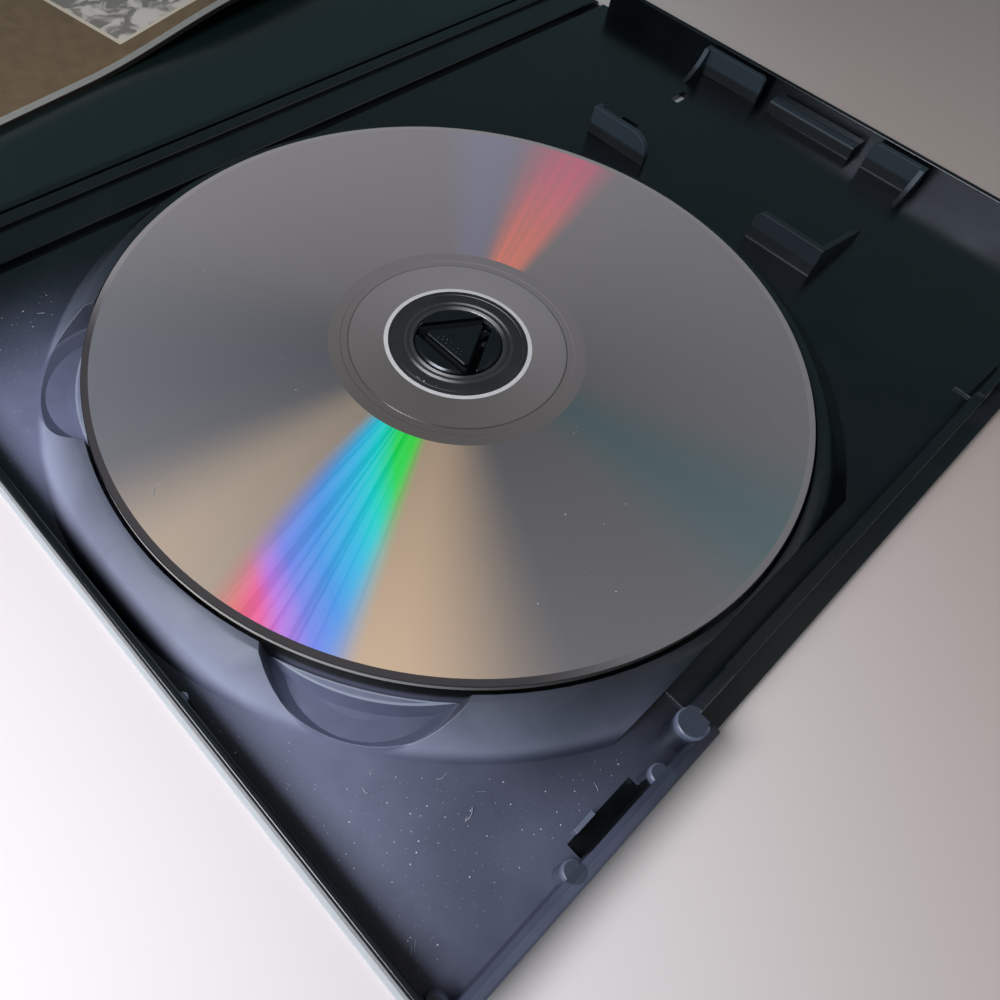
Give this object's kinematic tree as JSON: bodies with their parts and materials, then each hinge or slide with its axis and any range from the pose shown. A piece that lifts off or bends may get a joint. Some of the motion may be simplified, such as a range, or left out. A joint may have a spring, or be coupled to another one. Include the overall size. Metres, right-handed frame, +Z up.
{
  "type": "game disc case",
  "caption": "Hinged plastic case for a game disc, lying open, with a disc on its sprung hub, a memory card holder, a booklet and a clear outer film.",
  "frame": {"origin": "middle of the spine, on the surface the open case lies on", "axes": "+X from the cover across the spine to the tray, +Y towards the memory card end, +Z up"},
  "size_m": [0.2866, 0.19, 0.0104],
  "materials": {
    "case_plastic": "satin black moulding",
    "disc_polycarbonate": "metallised data side",
    "booklet_paper": "coated paper",
    "clear_film": "clear film"
  },
  "bodies": {
    "tray": {"tray": "case_plastic", "disc": "disc_polycarbonate", "sleeve_back": "clear_film"},
    "spine": {"spine": "case_plastic", "sleeve_spine": "clear_film"},
    "cover": {"cover": "case_plastic", "booklet": "booklet_paper", "sleeve_front": "clear_film"},
    "button": {"release_button": "case_plastic"}
  },
  "joints": [
    {"name": "tray_hinge", "type": "hinge", "parent": "tray", "child": "spine", "pos_m": [0.00725, 0, 0.00045], "axis": [0, 1, 0], "range_deg": [0, 90]},
    {"name": "cover_hinge", "type": "hinge", "parent": "spine", "child": "cover", "pos_m": [-0.00725, 0, 0.00045], "axis": [0, 1, 0], "range_deg": [0, 90]},
    {"name": "button_press", "type": "slide", "parent": "tray", "child": "button", "axis": [0, 0, 1], "range_m": [-0.0015, 0], "stiffness_N_per_m": 700}
  ]
}
